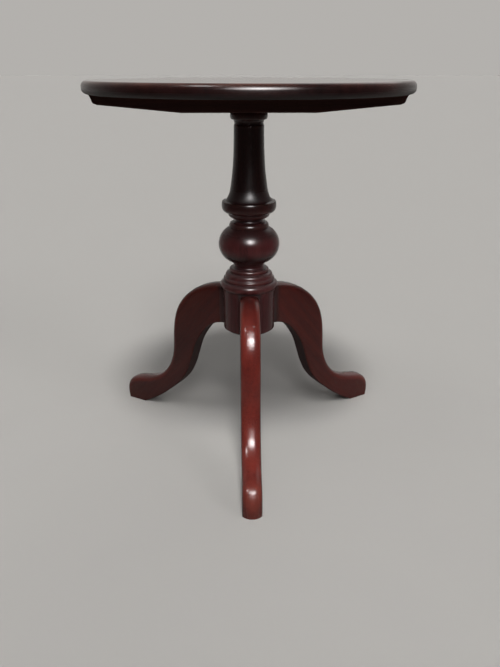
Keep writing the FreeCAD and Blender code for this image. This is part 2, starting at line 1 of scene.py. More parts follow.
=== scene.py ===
"""Looks of a round wine table in dark red-brown polished mahogany.

Metres, +Z up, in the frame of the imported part: the origin is on the floor under the column's axis, and the
front leg points along -Y. The top, the turned column and the legs are smooth surfaces worked out with numpy.
The bearer, the wedge, the base plate and the screws are the part's own solids with new finishes.
"""
import math

import bmesh
import bpy
import numpy as np
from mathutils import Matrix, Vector


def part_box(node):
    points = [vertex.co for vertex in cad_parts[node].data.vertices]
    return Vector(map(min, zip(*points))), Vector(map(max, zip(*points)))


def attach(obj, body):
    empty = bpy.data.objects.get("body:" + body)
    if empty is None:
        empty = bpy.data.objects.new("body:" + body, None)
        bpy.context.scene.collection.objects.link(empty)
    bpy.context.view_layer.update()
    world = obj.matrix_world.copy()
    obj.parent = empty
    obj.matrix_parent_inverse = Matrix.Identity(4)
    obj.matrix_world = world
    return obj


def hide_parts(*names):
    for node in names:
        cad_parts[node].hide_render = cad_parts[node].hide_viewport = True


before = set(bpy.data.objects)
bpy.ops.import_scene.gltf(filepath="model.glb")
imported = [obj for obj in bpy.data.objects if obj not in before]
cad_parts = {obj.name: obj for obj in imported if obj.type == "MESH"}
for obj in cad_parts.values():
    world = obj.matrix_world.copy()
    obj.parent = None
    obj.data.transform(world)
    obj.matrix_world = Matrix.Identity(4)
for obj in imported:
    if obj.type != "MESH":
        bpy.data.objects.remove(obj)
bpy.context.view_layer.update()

MM = 0.001
GLUE_GAP = 0.1 * MM
MERGE_DISTANCE = 0.001 * MM
QUARTER_ROUND = (math.sqrt(2) - 1) / 2

# Points on curves, and the longest step and widest turn between the rings of a turned piece
ARC_POINTS = 240
SPLINE_POINTS = 1200
SPLINE_DEGREE = 3
SPLINE_END = 1 - 1e-9
BELL_REACH = 4
PROFILE_STEP = 0.1 * MM
LONGEST_STEP = 6.0 * MM
WIDEST_TURN = math.radians(9)

# Round top
TOP_ROUND = 8.0 * MM
TOP_SEGMENTS = 240
TOP_RINGS = 110
TOP_LONGEST_STEP = 12.0 * MM
TOP_SHARP_ANGLE = 60
RIM_WEAR_SHARE = 0.4

# Turned column, from the drum's underside up: moulding, radius at its upper end and rise to there in
# millimetres, and how far it stands out from its chord as a share of the chord
DRUM_RADIUS = 42.3 * MM
DRUM_FOOT_RADIUS = 41.1
BASE_MOULDINGS = (
    ("drum edge", 42.3, 1.2, 0),
    ("drum", 42.3, 68.3, 0),
    ("torus", 41.0, 13.0, 5.3 / 13.0),
    ("bead seat", 39.2, 0, 0),
    ("bead", 39.2, 6.5, 2.6 / 6.5),
    ("band seat", 38.5, 0, 0),
    ("band side", 38.5, 3.0, 0),
    ("band shoulder", 33.0, 5.0, QUARTER_ROUND),
    ("ring seat", 30.0, 0, 0),
    ("ring", 30.0, 6.5, 2.4 / 6.5),
    ("throat seat", 25.0, 0, 0),
    ("throat", 25.0, 7.0, -0.3),
    ("ball band seat", 25.5, 0, 0),
    ("ball band", 25.5, 2.5, 0),
    ("ball step", 26.5, 1.0, 0),
    ("ball", 29.5, 56.5, 20.7 / 56.5),
    ("waist ring seat", 31.5, 0, 0),
    ("waist ring side", 31.5, 2.0, 0),
    ("waist ring", 23.5, 6.0, 0.24),
    ("waist", 22.5, 6.0, -0.23),
    ("cup", 33.0, 6.5, 0.2),
    ("cup band", 34.0, 2.0, 0),
    ("cup lip", 41.8, 5.0, 0.12),
    ("collar", 41.8, 13.0, 1.2 / 13.0),
    ("collar slope", 36.5, 1.0, 0),
)
SHAFT_LENGTH = 111.0
SHAFT_TOP_RADIUS = 23.0
SHAFT_POLE_SHARES = ((0.56, 0.06), (0.37, 0.23), (0.11, 0.46), (0.02, 0.73))
CAPITAL_MOULDINGS = (
    ("necking", 24.5, 9.0, -0.2),
    ("capital seat", 26.7, 0, 0),
    ("capital", 26.7, 11.0, 1.7 / 11.0),
    ("shoulder", 15.0, 0, 0),
    ("tenon", 15.0, 25.9, 0),
    ("tenon end", 0, 0, 0),
)
COLUMN_SEGMENTS = 112
COLUMN_RINGS = 700
COLUMN_SHARP_ANGLE = 75
ARRIS_SOFTENING = 6
HOLLOW_REACH = 9.0 * MM
HOLLOW_DEPTH = 8.0 * MM
HOLLOW_SHARE = 0.35
HOLLOW_SOFTENING = 3 * ARRIS_SOFTENING
# Heights above the drum's underside between which the rings of the base are worn smooth and carry dust and
# painted sheen
RING_HEIGHTS = (72.0 * MM, 79.0 * MM, 102.0 * MM, 106.0 * MM)
RING_SOFTENING = 13
DUST_AND_SHEEN_SHARE = 0.6
# Heights at which the column is darkened with painted shade, in the shade of what stands out above or below,
# and how dark
PAINTED_SHADE_HEIGHTS = np.array([290.0, 303.0, 318.0, 331.0, 341.0, 352.0, 360.0, 385.0, 415.0]) * MM
PAINTED_SHADE_DARKNESS = (0.0, 0.5, 0.85, 0.0, 0.0, 0.6, 0.7, 0.6, 1.0)
# Heights between which the foot of the shaft is duller, and how much
FLARE_HEIGHTS = (403.0 * MM, 408.0 * MM, 415.0 * MM, 423.0 * MM)
FLARE_DULLNESS = 0.22
# Painted shade over the whole drum, under the torus and the top
DRUM_PAINTED_SHADE = 0.4
WEAR_REACH = 2.5 * MM
WEAR_DEPTH = 0.5 * MM

# S-curved legs. Each leg's turn in degrees, the painted shade on its crest, a share for the painted shade on
# its sides, and the dust and painted sheen on its foot
LEGS = {
    "leg_front": (-90.0, 0.0, 1.0, 0.0),
    "leg_right": (30.0, 0.40, 0.83, 0.45),
    "leg_left": (150.0, 0.45, 1.0, 0.35),
}
TOE_REACH = 264.0 * MM
SOLE_LENGTH = 45.0 * MM
LEG_ROOT_START = 34.3 * MM
LEG_TOP = 261.4 * MM
LEG_ROOT_BOTTOM = 195.5 * MM
LEG_HALF_THICKNESS = (16.0 * MM, 14.5 * MM)
# Poles of the side view, as shares of the way from drum to toe and of the root's height
LEG_CREST_SHARES = (
    (0.130, 1.000), (0.320, 0.930), (0.465, 0.775), (0.491, 0.570), (0.487, 0.430),
    (0.580, 0.270), (0.755, 0.187), (0.965, 0.179), (1.018, 0.084),
)
LEG_ARCH_SHARES = (
    (0.103, 0.752), (0.243, 0.600), (0.281, 0.514), (0.353, 0.304), (0.475, 0.187), (0.672, 0.053),
)
# Shares along the crest and the arch that lie opposite each other; the heel of the sole is the last but two
CREST_MARK_SHARES = (0, 0.20, 0.35, 0.48, 0.60, 0.72, 0.82, 0.90, 1)
ARCH_MARK_SHARES = (0, 0.10, 0.19, 0.30, 0.49, 0.68, 0.8594, 0.93, 1)
CREST_DEPTH = 10.0 * MM
CREST_SQUARENESS = 2.8
TOE_FRONT_RADIUS = 18.0 * MM
TOE_FRONT_SHARES = (0.88, 0.97)
ARRIS_ROUND = 3.0 * MM
ROOT_SCRIBE = 14.0 * MM
LEG_ROWS = 170
TOE_ROWS = 26
TOE_ROW_SHARES = (0.06, 0.0004)
LEG_SHARP_ANGLE = 50
# Steps of the section: round the crest, down the side, round the arris, across the underside, over the end
CREST_STEPS = 15
SIDE_STEPS = 10
ARRIS_STEPS = 7
UNDERSIDE_STEPS = 9
ROOT_END_STEPS = 6
# The most that the crest's round and the arris take of the section's height
CREST_MOST_SHARE = 0.55
ARRIS_MOST_SHARE = 0.15
SEAM_GRIME = 3.5 * MM
# Painted shade of the torus over the leg's root, fading with the distance from the drum
ROOT_PAINTED_SHADE = 12.0 * MM
# Dust and painted sheen on the crest near the root, and on the foot
ROOT_DUST_AND_SHEEN = 25.0 * MM
ROOT_DUST_AND_SHEEN_SHARE = 0.17
FOOT_DUST_AND_SHEEN_REACH = (160.0 * MM, 215.0 * MM)
# Painted shade on the legs' sides, at the root and at the foot, and on the underside; above the last share
# the polish is dull too
SIDE_PAINTED_SHADE = (0.49, 0.8)
UNDERSIDE_PAINTED_SHADE = 1.0
DULL_DARKNESS = 0.81
TOE_WEAR_START = 225.0 * MM
TOE_WEAR_SHARE = 0.8
# How far each degree of a leg's turn shifts its grain, so that no two legs are cut alike
GRAIN_SHIFT = 1.0 * MM


def shade(red, green, blue):
    """A linear colour with full alpha."""
    return (red, green, blue, 1.0)


# Mahogany: deep, warm and light shades of the wood
TOP_SHADES = shade(0.010, 0.004, 0.004), shade(0.026, 0.008, 0.008), shade(0.04, 0.014, 0.011)
TURNED_SHADES = shade(0.05, 0.013, 0.015), shade(0.15, 0.033, 0.036), shade(0.20, 0.050, 0.049)
LEG_SHADES = shade(0.092, 0.0133, 0.0112), shade(0.174, 0.0228, 0.0166), shade(0.28, 0.058, 0.038)
BEARER_SHADES = shade(0.03, 0.014, 0.013), shade(0.07, 0.027, 0.023), shade(0.09, 0.036, 0.029)
PORE_SHADE = shade(0.012, 0.004, 0.003)
# Near-black for painted shade and for grime in hollows and seams
PAINTED_SHADE_AND_GRIME = shade(0.012, 0.006, 0.0055)
WORN_SHADE = shade(0.20, 0.085, 0.055)
# Grey of dust and painted sheen
DUST_AND_SHEEN_SHADE = shade(0.115, 0.08, 0.08)
# Its noises, in waves to the metre along the grain and across it
DRIFT_WAVES = (3.0, 13.0, 13.0)
RIBBON_WAVES = (4.0, 85.0, 85.0)
WANDER_WAVES = (5.0, 16.0, 16.0)
FIBRE_WAVES = (55.0, 1500.0, 1500.0)
PORE_WAVES = (110.0, 2300.0, 2300.0)
CLOUD_WAVES = (24.0, 38.0, 38.0)
# Its growth rings: how far off their middle lies, the plane that they lie in, their wander and their phase
PITH_OFFSET = (0.0, 0.11, 0.07)
ACROSS_GRAIN = (0.0, 1.0, 1.0)
RING_WANDER = 0.03
RING_PHASE = 1150.0
# What each noise and mark adds to the colour, and the levels between which it sets in
RIBBON_SHARE = 0.7
GROWTH_SHARE = 0.04
DRIFT_SHARE = 0.45
FIGURE_SHIFT = 0.1
FIGURE_RANGE = (0.2, 0.75)
SHEEN_DRIFT_SHARE = 0.5
SHEEN_FIBRE_SHARE = 0.6
SHEEN_RANGE = (0.48, 0.8)
SHEEN_SHARE = 0.6
PORE_RANGE = (0.60, 0.70)
PORE_SHARE = 0.55
PAINTED_SHADE_AND_GRIME_SHARE = 0.85
WORN_RANGE = (0.3, 0.6)
WORN_SHARE = 0.35
WAX_DEPTH = 1.6
WAX_COAT = 0.85
# What they add to the roughness of the polish
POLISH_ROUGHNESS = 0.2
CLOUD_DULLNESS = 0.16
HOLLOW_DULLNESS = 0.5
PORE_DULLNESS = 0.12
WORN_DULLNESS = 0.22
DARK_GLOSS = 0.04
FIBRE_HEIGHT = 0.35

# Floor, light and camera
FLOOR_HUB = 0.05
FLOOR_RADIUS = 60.0
FLOOR_RINGS = 24
FLOOR_SEGMENTS = 64
FLOOR_SHADE = shade(0.46, 0.445, 0.425)
FLOOR_BOUNCE = shade(0.16, 0.145, 0.13)
ROOM_SHADE = shade(0.452, 0.437, 0.418)
ROOM_LIGHT = shade(0.14, 0.14, 0.14)
# What the polish mirrors is dimmer in front: the least share, the part of the heading along +Y over which
# that fades, and the distances from the table between which it sets in on the floor
DIM_SHARE = 0.2
DIM_HEADING = (-0.3, 0.6)
DIM_DISTANCE = (0.35, 1.2)
# Each sun's name, azimuth to the right of the front and elevation in degrees, strength as plain light,
# strength in the polish, and width in degrees
SUNS = (
    ("key_high", 2.0, 66.0, 1.9, 0.15, 12.0),
    ("key_middle", 4.0, 50.0, 0.3, 0.3, 12.0),
    ("key_low", 4.0, 37.0, 0.35, 0.4, 12.0),
    ("left", -62.0, 67.0, 0.1, 1.5, 13.0),
    ("right", 52.0, 30.0, 0.42, 0.0, 20.0),
    ("back", 160.0, 40.0, 0.3, 0.3, 40.0),
)
# A lamp near the front, which shows only in the polish: discs, one in the other, with width and power
GLEAM_PLACE = (0.06, -0.62, 0.80)
GLEAM_TARGET = (0.0, 0.0, 0.25)
GLEAM_DISCS = ((0.15, 4.4), (0.28, 7.3), (0.42, 6.6))
CAMERA_PLACE = (-0.01795, -1.0193, 0.5952)
CAMERA_PITCH = 0.3883
CAMERA_TURN = -0.0192
CAMERA_LENS = 35.084
SENSOR_WIDTH = 36.0


def straight_or_arc(begin, end, bulge):
    """Points from begin to end on an arc that stands out to the right of its chord.

    The bulge is a share of the chord. Half the arc's angle is twice the arctangent of twice the bulge, its
    radius is half the chord over the sine of that, and the points lie at even steps of the angle. With no
    bulge they lie at even steps of the chord.
    """
    begin, end = np.array(begin, float), np.array(end, float)
    share = np.linspace(0, 1, ARC_POINTS)[:, None]
    chord = end - begin
    if not bulge:
        return begin + chord * share
    half = 2 * math.atan(2 * bulge)
    angle = (2 * share - 1) * half
    outward = np.array([chord[1], -chord[0]])
    along = 0.5 + np.sin(angle) / (2 * math.sin(half))
    proud = (np.cos(angle) - math.cos(half)) / (2 * math.sin(half))
    return begin + chord * along + outward * proud


def clamped_spline(poles):
    """Points of a smooth curve from the first pole to the last: a clamped, even, cubic B-spline.

    Each point is the sum of the poles, weighted by basis functions that are built up from steps of width
    one span by the usual three rounds of linear blending.
    """
    poles = np.array(poles, float)
    inner = np.linspace(0, 1, len(poles) - SPLINE_DEGREE + 1)
    knots = np.concatenate([np.zeros(SPLINE_DEGREE), inner, np.ones(SPLINE_DEGREE)])
    place = np.clip(np.linspace(0, 1, SPLINE_POINTS), 0, SPLINE_END)[:, None]
    weight = ((knots[:-1] <= place) & (place < knots[1:])).astype(float)
    for round_number in range(1, SPLINE_DEGREE + 1):
        span = knots[round_number:] - knots[:-round_number]
        slope = np.divide(1, span, out=np.zeros_like(span), where=span > 0)
        rising = (place - knots[: -round_number - 1]) * slope[:-1]
        falling = (knots[round_number + 1 :] - place) * slope[1:]
        weight = rising * weight[:, :-1] + falling * weight[:, 1:]
    return weight @ poles


def arc_length(path):
    """The length run from the start of a path to each of its points."""
    steps = np.linalg.norm(np.diff(path, axis=0), axis=1)
    return np.concatenate([[0], np.cumsum(steps)])


def at_marks(path, run, marks):
    """Points of a path where its running measure reaches the marks, by linear interpolation."""
    return np.stack([np.interp(marks, run, path[:, axis]) for axis in range(path.shape[1])], axis=1)


def evenly_spaced(path, step):
    """The same path with points a fixed length apart."""
    run = arc_length(path)
    return at_marks(path, run, np.linspace(0, run[-1], round(run[-1] / step) + 1))


def soften(values, width):
    """Each value replaced by the mean of its neighbours under a bell curve, width in samples.

    Beyond both ends the values go on as their own point reflection, so the end points stay where they are.
    """
    reach = BELL_REACH * width
    bell = np.exp(-0.5 * (np.arange(-reach, reach + 1) / width) ** 2)
    padded = np.pad(values, ((reach, reach), (0, 0)), mode="reflect", reflect_type="odd")
    windows = np.lib.stride_tricks.sliding_window_view(padded, 2 * reach + 1, axis=0)
    return windows @ (bell / bell.sum())


def where_it_turns(path, count, longest=LONGEST_STEP):
    """Marks on a path, as lengths, that crowd together where it bends.

    They are even steps of a measure that grows by one for each longest step and each widest turn.
    """
    run = arc_length(path)
    heading = np.unwrap(np.arctan2(np.gradient(path[:, 1]), np.gradient(path[:, 0])))
    turned = np.concatenate([[0], np.cumsum(np.abs(np.diff(heading)))])
    measure = run / longest + turned / WIDEST_TURN
    return np.interp(np.linspace(0, measure[-1], count), measure, run)


def revolve(profile, segments):
    """A turned surface: each point (radius, height) of the profile goes once round the Z axis."""
    angle = np.linspace(0, 2 * math.pi, segments, endpoint=False)
    radius, height = profile[:, :1], profile[:, 1:]
    grid = radius * np.cos(angle), radius * np.sin(angle), height
    return np.stack(np.broadcast_arrays(*grid), axis=-1)


def enclosed_volume(points, quads):
    """Signed volume of a closed surface: the sum of the tetrahedra from the origin to its triangles."""
    a, b, c, d = (points[quads[:, corner]] for corner in range(4))
    first = np.einsum("ij,ij->", a, np.cross(b, c))
    second = np.einsum("ij,ij->", a, np.cross(c, d))
    return (first + second) / 6


def add_mark(mesh, name, values):
    """Store one number or one vector for each vertex of a mesh, for its finish to read."""
    kind, field = ("FLOAT_VECTOR", "vector") if values.ndim == 3 else ("FLOAT", "value")
    layer = mesh.attributes.new(name, kind, "POINT")
    layer.data.foreach_set(field, np.ascontiguousarray(values, dtype=np.float32).ravel())


def grid_quads(rows, columns):
    """The places of a grid's points, and its quads: neighbours joined, and the last column to the first."""
    index = np.arange(rows * columns).reshape(rows, columns)
    beside = np.roll(index, -1, axis=1)
    return index, np.stack([index[:-1], beside[:-1], beside[1:], index[1:]], axis=-1).reshape(-1, 4)


def closed_mesh(name, grid, marks, sharp_angle):
    """A closed mesh from a grid of points whose columns go round it and whose end rows collapse.

    Points that coincide are merged, which closes the poles and seams. If the enclosed volume is negative,
    the faces are turned round.
    """
    quads = grid_quads(*grid.shape[:2])[1]
    points = grid.reshape(-1, 3)
    if enclosed_volume(points, quads) < 0:
        quads = quads[:, ::-1]
    mesh = bpy.data.meshes.new(name)
    mesh.from_pydata(points.tolist(), [], quads.tolist())
    for mark, values in marks.items():
        add_mark(mesh, mark, values)
    shell = bmesh.new()
    shell.from_mesh(mesh)
    bmesh.ops.remove_doubles(shell, verts=shell.verts, dist=MERGE_DISTANCE)
    shell.to_mesh(mesh)
    shell.free()
    mesh.shade_smooth()
    mesh.set_sharp_from_angle(angle=math.radians(sharp_angle))
    return mesh


def add_piece(name, mesh, node, finish):
    """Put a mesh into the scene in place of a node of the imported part."""
    mesh.materials.append(finish)
    piece = bpy.data.objects.new(name, mesh)
    bpy.context.scene.collection.objects.link(piece)
    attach(piece, "root")
    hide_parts(node)


def top_board(finish):
    """The round top: flat below and above, with a rim of two quarter rounds and a narrow flat between.

    Wear is a hump over the upper round, wax lies on the flat above, and the lower round and the underside are
    dull and darkened with painted shade.
    """
    low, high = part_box("top")
    radius = high.x
    steps = (
        ((0, low.z), (radius - TOP_ROUND, low.z), 0),
        ((radius - TOP_ROUND, low.z), (radius, low.z + TOP_ROUND), QUARTER_ROUND),
        ((radius, low.z + TOP_ROUND), (radius, high.z - TOP_ROUND), 0),
        ((radius, high.z - TOP_ROUND), (radius - TOP_ROUND, high.z), QUARTER_ROUND),
        ((radius - TOP_ROUND, high.z), (0, high.z), 0),
    )
    outline = evenly_spaced(np.concatenate([straight_or_arc(*step) for step in steps]), PROFILE_STEP)
    profile = at_marks(outline, arc_length(outline), where_it_turns(outline, TOP_RINGS, TOP_LONGEST_STEP))
    grid = revolve(profile, TOP_SEGMENTS)
    to_rim = np.clip((np.hypot(grid[..., 0], grid[..., 1]) - radius + TOP_ROUND) / TOP_ROUND, 0, 1)
    above = np.clip((grid[..., 2] - low.z) / (high.z - low.z), 0, 1)
    marks = {
        "grain": grid[..., [1, 0, 2]],
        # Painted shade on the lower round and the underside, which are also dull
        "hollow": np.clip((low.z + TOP_ROUND - grid[..., 2]) / TOP_ROUND, 0, 1),
        "worn": RIM_WEAR_SHARE * (1 - (2 * to_rim - 1) ** 2) * above,
        "waxed": (1 - to_rim) * above,
    }
    mesh = closed_mesh("polished_top", grid, marks, TOP_SHARP_ANGLE)
    add_piece("polished_top", mesh, "top", finish)


def column_outline():
    """The column's half section as (radius, height), from the middle of its underside to the tenon's end."""
    corner = np.array([DRUM_FOOT_RADIUS, 0.0])
    path = [straight_or_arc((0, 0), corner, 0)]

    def moulded(mouldings, corner):
        """Add the mouldings in turn, each from the corner where the last one ended, and give back the end."""
        for _, radius, rise, bulge in mouldings:
            end = np.array([radius, corner[1] + rise])
            path.append(straight_or_arc(corner, end, bulge))
            corner = end
        return corner

    foot = moulded(BASE_MOULDINGS, corner)
    flare = foot[0] - SHAFT_TOP_RADIUS
    shares = np.array(SHAFT_POLE_SHARES)
    poles = np.array([SHAFT_TOP_RADIUS, foot[1]]) + shares * [flare, SHAFT_LENGTH]
    neck = np.array([SHAFT_TOP_RADIUS, foot[1] + SHAFT_LENGTH])
    path.append(clamped_spline([foot, *poles, neck]))
    moulded(CAPITAL_MOULDINGS, neck)
    return np.concatenate(path) * MM


def leg_seam_grime(grid):
    """How close a point of the drum is to the side of a leg: one at the seam, fading round the drum."""
    angle = np.degrees(np.arctan2(grid[..., 1], grid[..., 0]))
    offset = np.stack([(angle - turn + 180) % 360 - 180 for turn, *_ in LEGS.values()])
    reach = np.radians(np.abs(offset).min(axis=0)) * DRUM_RADIUS - LEG_HALF_THICKNESS[0]
    below = grid[..., 2] < LEG_TOP
    return below * np.exp(-np.maximum(reach, 0) / SEAM_GRIME)


def painted_shade_by_height(grid):
    """Painted shade: how much darker the column is, read off a table of heights, and the same all over the
    drum.
    """
    height = grid[..., 2]
    shelter = np.interp(height, PAINTED_SHADE_HEIGHTS, PAINTED_SHADE_DARKNESS)
    return np.maximum(shelter, DRUM_PAINTED_SHADE * (height < LEG_TOP))


def turned_column(finish):
    """The column: its half section, with arrises softened and the base rings more so, turned about the axis.

    A hollow is where the section lies inside the widest of its neighbours, and wear is where it stands out
    from the mean of its neighbours. Dust and painted sheen lie on the base rings where they face up. The
    hollow mark also takes in the seams beside the legs and the dull foot of the shaft, and the dark mark is
    painted shade.
    """
    outline = soften(evenly_spaced(column_outline(), PROFILE_STEP), ARRIS_SOFTENING)
    ringed = np.interp(outline[:, 1], RING_HEIGHTS, (0, 1, 1, 0))
    outline += (soften(outline, RING_SOFTENING) - outline) * ringed[:, None]
    radius = outline[:, 0]
    reach = round(HOLLOW_REACH / PROFILE_STEP)
    padded = np.pad(radius, reach, mode="edge")
    widest = np.lib.stride_tricks.sliding_window_view(padded, 2 * reach + 1).max(axis=-1)
    hollow = HOLLOW_SHARE * np.clip((widest - radius) / HOLLOW_DEPTH, 0, 1)
    hollow = soften(hollow[:, None], HOLLOW_SOFTENING)[:, 0]
    mean = soften(outline, round(WEAR_REACH / PROFILE_STEP / 2))[:, 0]
    worn = np.clip((radius - mean) / WEAR_DEPTH, 0, 1)
    run = arc_length(outline)
    # Dust and painted sheen where the rings face up
    dust_and_sheen = DUST_AND_SHEEN_SHARE * ringed * np.clip(-np.gradient(radius, run), 0, 1)
    rings = where_it_turns(outline, COLUMN_RINGS)
    profile = at_marks(np.column_stack([outline, hollow, worn, dust_and_sheen]), run, rings)
    profile[:, 1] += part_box("column")[0].z
    grid = revolve(profile[:, :2], COLUMN_SEGMENTS)
    across = np.ones((1, COLUMN_SEGMENTS))
    dull_flare = FLARE_DULLNESS * np.interp(grid[..., 2], FLARE_HEIGHTS, (0, 1, 1, 0))
    marks = {
        "grain": grid[..., [2, 0, 1]],
        "hollow": np.clip(profile[:, 2:3] * across + leg_seam_grime(grid) + dull_flare, 0, 1),
        # Painted shade read off the heights
        "dark": painted_shade_by_height(grid),
        "worn": profile[:, 3:4] * across,
        "dust_and_sheen": profile[:, 4:5] * across,
    }
    mesh = closed_mesh("turned_column", grid, marks, COLUMN_SHARP_ANGLE)
    add_piece("turned_column", mesh, "column", finish)


def leg_edges():
    """The leg's crest, from the drum to the toe, and its arch with the sole, as (out, up) points."""

    def points(shares):
        """Shares of the way from drum to toe and of the root's height, as points."""
        return np.array(shares) * [TOE_REACH - DRUM_RADIUS, LEG_TOP] + [DRUM_RADIUS, 0]

    toe, heel = (TOE_REACH, 0), (TOE_REACH - SOLE_LENGTH, 0)
    crest = clamped_spline([(LEG_ROOT_START, LEG_TOP), *points(LEG_CREST_SHARES), toe])
    arch = clamped_spline([(LEG_ROOT_START, LEG_ROOT_BOTTOM), *points(LEG_ARCH_SHARES), heel])
    outside = DRUM_RADIUS + GLUE_GAP
    crest, arch = crest[crest[:, 0] >= outside], arch[arch[:, 0] >= outside]
    return crest, arch, np.concatenate([arch, straight_or_arc(heel, toe, 0)])


def distance_to(points, path):
    """The least distance from each point of a grid to every second point of a finely divided path."""
    apart = points[:, :, None, :] - path[None, None, ::2, :]
    return np.sqrt((apart ** 2).sum(axis=-1).min(axis=-1))


def leg_surface():
    """One leg along +X, as a grid of points: rows from the drum to the toe, columns round the section.

    A row joins a point of the crest to the one opposite it on the arch or the sole. Its half thickness is
    that of the plain leg, drawn in towards the crest along a superellipse, towards the front of the toe along
    a circle and towards the arch along a quarter circle, each by the point's true distance from that edge.
    The root is scribed to the drum. A second grid is painted shade: none on the crest, darker down the sides
    and darkest below.
    """
    crest, arch, under = leg_edges()
    crowded = 1 - np.geomspace(*TOE_ROW_SHARES, TOE_ROWS)
    share = np.union1d(np.linspace(0, 1, LEG_ROWS), np.concatenate([crowded, CREST_MARK_SHARES]))
    crest_run, under_run = arc_length(crest), arc_length(under)
    upper = at_marks(crest, crest_run / crest_run[-1], share)
    lower = at_marks(under, under_run / under_run[-1], np.interp(share, CREST_MARK_SHARES, ARCH_MARK_SHARES))
    lower[-1] = upper[-1]

    # Steps from crest to arch: crowded in the crest's round, even on the side, crowded at the arris
    length = np.linalg.norm(lower - upper, axis=1)[:, None]
    cap = np.minimum(CREST_DEPTH, CREST_MOST_SHARE * length)
    arris = np.minimum(ARRIS_ROUND, ARRIS_MOST_SHARE * length)
    cap_steps = cap * (1 - np.cos(np.linspace(0, math.pi / 2, CREST_STEPS)))
    side_steps = cap + (length - cap - arris) * np.linspace(0, 1, SIDE_STEPS)[1:-1]
    arris_steps = length - arris * (1 - np.cos(np.linspace(math.pi / 2, 0, ARRIS_STEPS)))
    steps = np.concatenate([cap_steps, side_steps, arris_steps], axis=1)
    along = np.divide(steps, length, out=np.zeros_like(steps), where=length > 0)
    side = upper[:, None, :] + (lower - upper)[:, None, :] * along[..., None]

    plain = np.interp(side[..., 0], [DRUM_RADIUS, TOE_REACH], LEG_HALF_THICKNESS)
    away = distance_to(side, crest)
    away[:, 0] = 0
    from_crest = np.clip(away / CREST_DEPTH, 0, 1)
    crest_half = plain * (1 - (1 - from_crest) ** CREST_SQUARENESS) ** (1 / CREST_SQUARENESS)
    toe_half = np.sqrt(np.clip(away * (2 * TOE_FRONT_RADIUS - away), 0, plain ** 2))
    half = crest_half + (toe_half - crest_half) * np.interp(share, TOE_FRONT_SHARES, (0, 1))[:, None]
    from_arch = np.clip(distance_to(side, arch) / ARRIS_ROUND, 0, 1)
    half -= np.minimum(ARRIS_ROUND * (1 - np.sqrt(1 - (1 - from_arch) ** 2)), half)

    # Round the section: down one side, across the underside, up the other side
    across = np.linspace(1, -1, UNDERSIDE_STEPS)[None, 1:-1]
    floor = np.repeat(side[:, -1:, :], across.shape[1], axis=1)
    flat = np.concatenate([side, floor, side[:, :0:-1, :]], axis=1)
    sideways = np.concatenate([half, half[:, -1:] * across, -half[:, :0:-1]], axis=1)
    scribe = DRUM_RADIUS - np.sqrt(np.maximum(DRUM_RADIUS ** 2 - sideways ** 2, 0))
    fade = np.clip(1 - (flat[..., 0] - DRUM_RADIUS) / ROOT_SCRIBE, 0, 1)
    grid = np.stack([flat[..., 0] - scribe * fade, sideways, flat[..., 1]], axis=-1)

    # The root's end is closed by rows that slide along the drum to its middle line
    narrower = np.linspace(0, 1, ROOT_END_STEPS)[:-1, None] * grid[:1, :, 1]
    onto_drum = np.sqrt((DRUM_RADIUS + GLUE_GAP) ** 2 - narrower ** 2)
    heights = np.repeat(grid[:1, :, 2], len(narrower), axis=0)
    grid = np.concatenate([np.stack([onto_drum, narrower, heights], axis=-1), grid])
    # Painted shade: darker down the sides, more so towards the foot, and darkest on the underside
    down = np.interp(share, (0, 1), SIDE_PAINTED_SHADE)[:, None] * from_crest
    below = np.full(floor.shape[:2], UNDERSIDE_PAINTED_SHADE)
    down[:, -1] = UNDERSIDE_PAINTED_SHADE
    dark = np.concatenate([down, below, down[:, :0:-1]], axis=1)
    return grid, np.concatenate([np.repeat(dark[:1], len(narrower), axis=0), dark])


def leg(node, turn, surface, dark, foot_dust_and_sheen, finish):
    """One leg: the surface turned about the column's axis, with its grain along the line from knee to toe.

    The dark grid is painted shade. Painted shade under the torus, grime at the seam, and dust and painted
    sheen at the root fade with the distance from the drum. Dust and painted sheen on the foot set in along
    the leg, and wear grows evenly towards the toe.
    """
    angle = math.radians(turn)
    out, sideways, up = np.moveaxis(surface, -1, 0)
    grid = np.stack([
        out * math.cos(angle) - sideways * math.sin(angle),
        out * math.sin(angle) + sideways * math.cos(angle),
        up,
    ], axis=-1)
    lean = math.atan2(LEG_TOP, TOE_REACH - DRUM_RADIUS)
    from_drum = np.maximum(out - DRUM_RADIUS, 0)
    foot = np.interp(out, FOOT_DUST_AND_SHEEN_REACH, (0, 1))
    toe = np.clip((out - TOE_WEAR_START) / (TOE_REACH - TOE_WEAR_START), 0, 1)
    shift = turn * GRAIN_SHIFT
    marks = {
        "grain": np.stack([
            out * math.cos(lean) - up * math.sin(lean) + shift,
            out * math.sin(lean) + up * math.cos(lean),
            sideways + shift / 2,
        ], axis=-1),
        # Grime at the seam, and the underside dull and darkened with painted shade; the dark mark is painted
        # shade
        "hollow": np.maximum(np.exp(-from_drum / SEAM_GRIME), dark > DULL_DARKNESS),
        "dark": np.maximum(np.exp(-from_drum / ROOT_PAINTED_SHADE), dark),
        "dust_and_sheen": np.maximum(ROOT_DUST_AND_SHEEN_SHARE * (1 - dark) * np.exp(-from_drum / ROOT_DUST_AND_SHEEN), foot_dust_and_sheen * foot),
        "worn": TOE_WEAR_SHARE * (1 - dark) * toe,
    }
    name = f"polished_{node}"
    add_piece(name, closed_mesh(name, grid, marks, LEG_SHARP_ANGLE), node, finish)


class Socket:
    """An output of a node that can stand in a Python sum: each operator adds a Math node."""

    def __init__(self, finish, output):
        self.finish = finish
        self.output = output

    def __add__(self, other):
        return self.finish.maths("ADD", self, other)

    def __sub__(self, other):
        return self.finish.maths("SUBTRACT", self, other)

    def __rsub__(self, other):
        return self.finish.maths("SUBTRACT", other, self)

    def __mul__(self, other):
        return self.finish.maths("MULTIPLY", self, other)

    def __pow__(self, other):
        return self.finish.maths("POWER", self, other)

    __radd__ = __add__
    __rmul__ = __mul__


